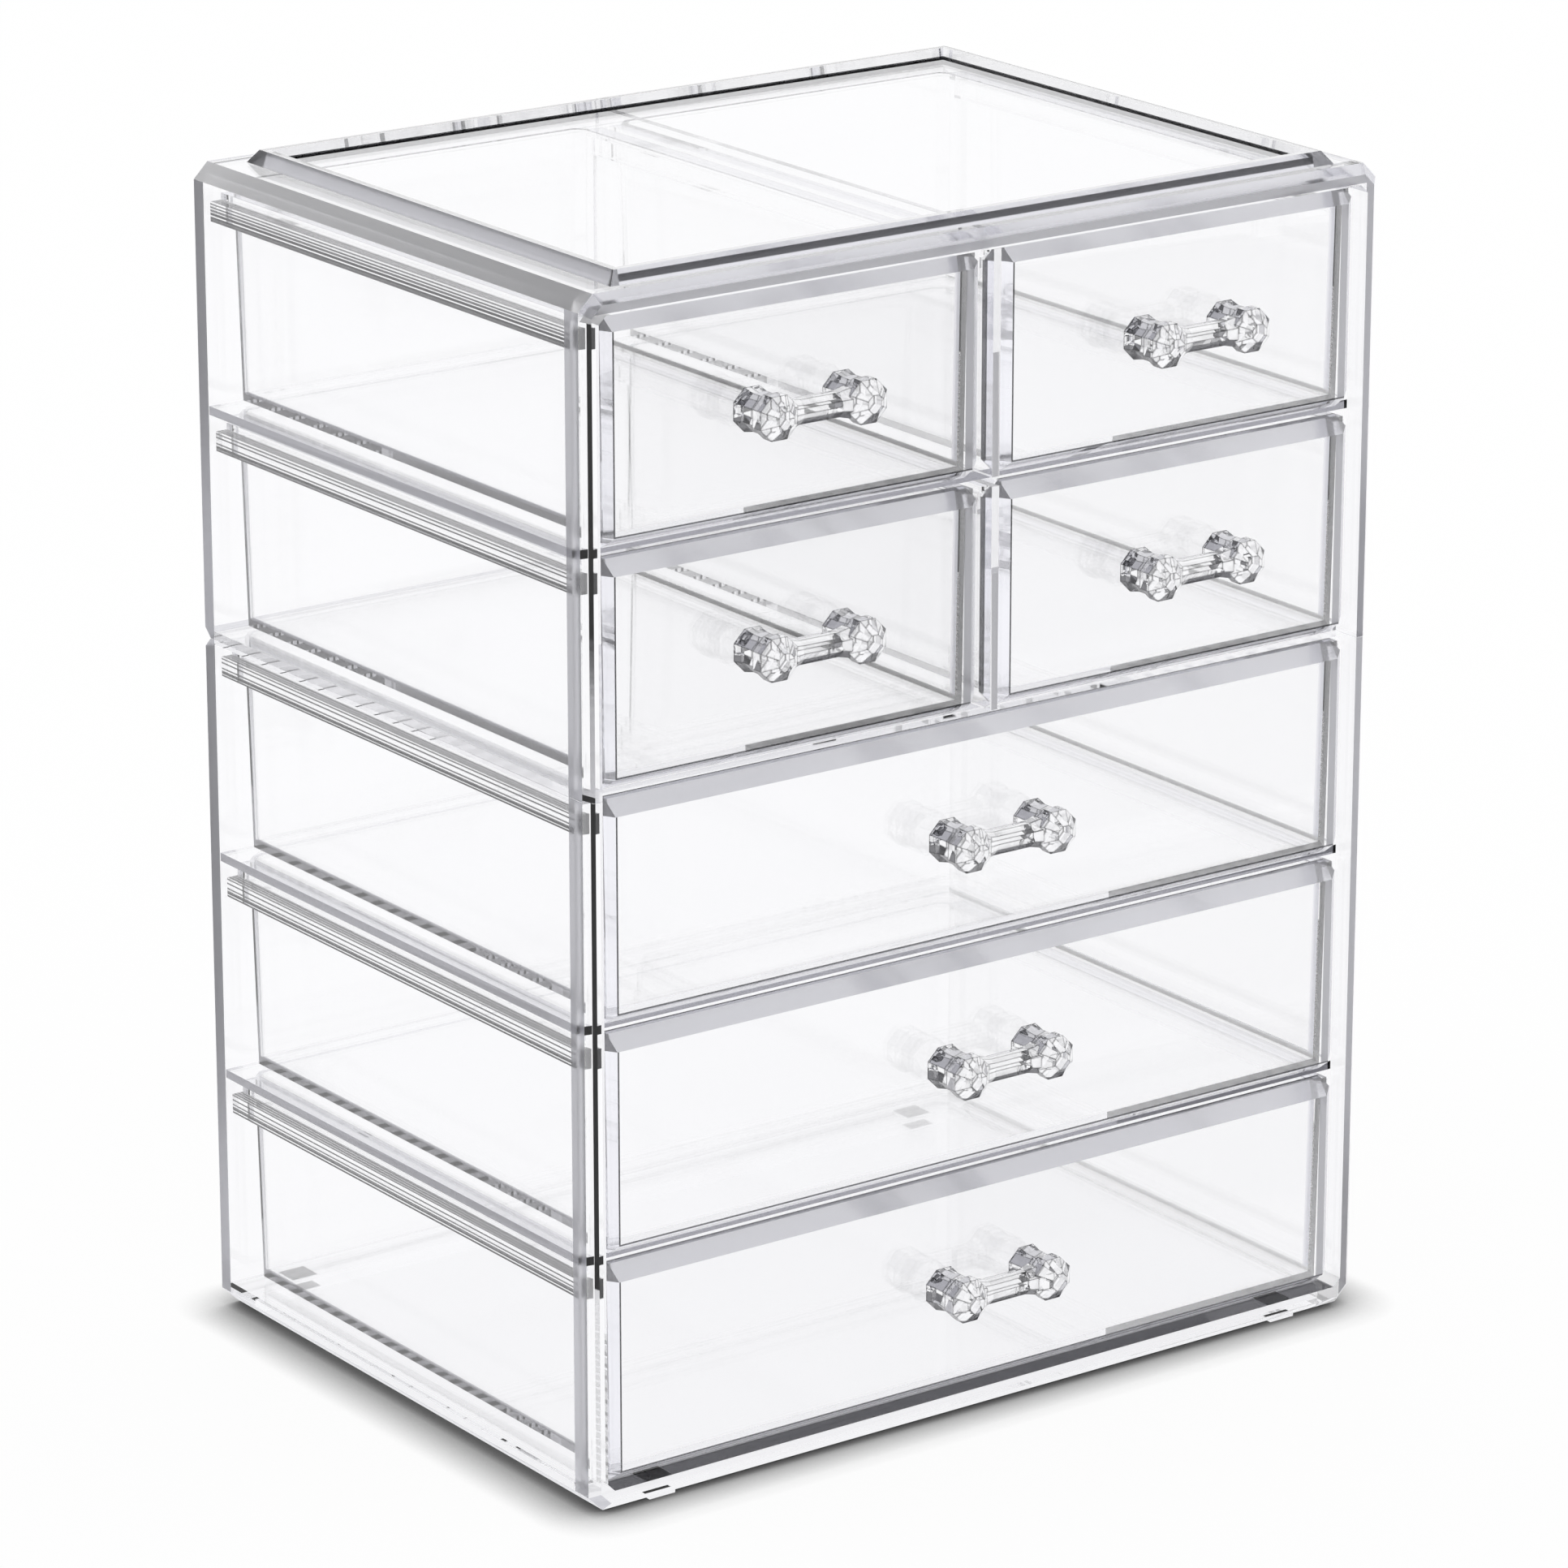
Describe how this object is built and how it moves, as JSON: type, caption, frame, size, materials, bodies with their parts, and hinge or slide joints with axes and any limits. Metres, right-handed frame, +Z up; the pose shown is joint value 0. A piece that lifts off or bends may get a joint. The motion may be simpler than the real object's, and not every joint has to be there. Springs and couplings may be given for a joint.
{
  "type": "acrylic makeup organizer drawers",
  "caption": "Clear acrylic desktop makeup organizer: small paired drawers stacked over full-width drawers, with bevelled fronts and faceted pull handles.",
  "frame": {"origin": "on the surface that the foot pads stand on, at the middle of the length and width over the handles", "axes": "+X to the right seen from the front, +Z up; the drawers open towards -Y"},
  "size_m": [0.236, 0.1816, 0.3031],
  "materials": {
    "case": "clear, polished",
    "trays": "clear, polished",
    "drawer_fronts": "clear, polished, bevelled",
    "handles": "clear, cut facets",
    "foot_pads": "clear, slightly frosted"
  },
  "bodies": {
    "case": {"lower_case": "case", "upper_case": "case", "foot_pads": "foot_pads", "stacking_rim": "case", "shelf_row_2": "case", "shelf_row_3": "case", "shelf_row_5": "case", "divider_row_4": "case", "divider_row_5": "case", "lower_rails": "case", "upper_rails": "case", "divider_rails": "case"},
    "drawer_1": {"tray_1": "trays", "front_1": "drawer_fronts", "handle_1": "handles"},
    "drawer_2": {"tray_2": "trays", "front_2": "drawer_fronts", "handle_2": "handles"},
    "drawer_3": {"tray_3": "trays", "front_3": "drawer_fronts", "handle_3": "handles"},
    "drawer_4_left": {"tray_4_left": "trays", "front_4_left": "drawer_fronts", "handle_4_left": "handles"},
    "drawer_4_right": {"tray_4_right": "trays", "front_4_right": "drawer_fronts", "handle_4_right": "handles"},
    "drawer_5_left": {"tray_5_left": "trays", "front_5_left": "drawer_fronts", "handle_5_left": "handles"},
    "drawer_5_right": {"tray_5_right": "trays", "front_5_right": "drawer_fronts", "handle_5_right": "handles"}
  },
  "joints": [
    {"name": "drawer_1_slide", "type": "slide", "parent": "case", "child": "drawer_1", "axis": [0, -1, 0], "range_m": [0, 0.12]},
    {"name": "drawer_2_slide", "type": "slide", "parent": "case", "child": "drawer_2", "axis": [0, -1, 0], "range_m": [0, 0.12]},
    {"name": "drawer_3_slide", "type": "slide", "parent": "case", "child": "drawer_3", "axis": [0, -1, 0], "range_m": [0, 0.12]},
    {"name": "drawer_4_left_slide", "type": "slide", "parent": "case", "child": "drawer_4_left", "axis": [0, -1, 0], "range_m": [0, 0.12]},
    {"name": "drawer_4_right_slide", "type": "slide", "parent": "case", "child": "drawer_4_right", "axis": [0, -1, 0], "range_m": [0, 0.12]},
    {"name": "drawer_5_left_slide", "type": "slide", "parent": "case", "child": "drawer_5_left", "axis": [0, -1, 0], "range_m": [0, 0.12]},
    {"name": "drawer_5_right_slide", "type": "slide", "parent": "case", "child": "drawer_5_right", "axis": [0, -1, 0], "range_m": [0, 0.12]}
  ]
}
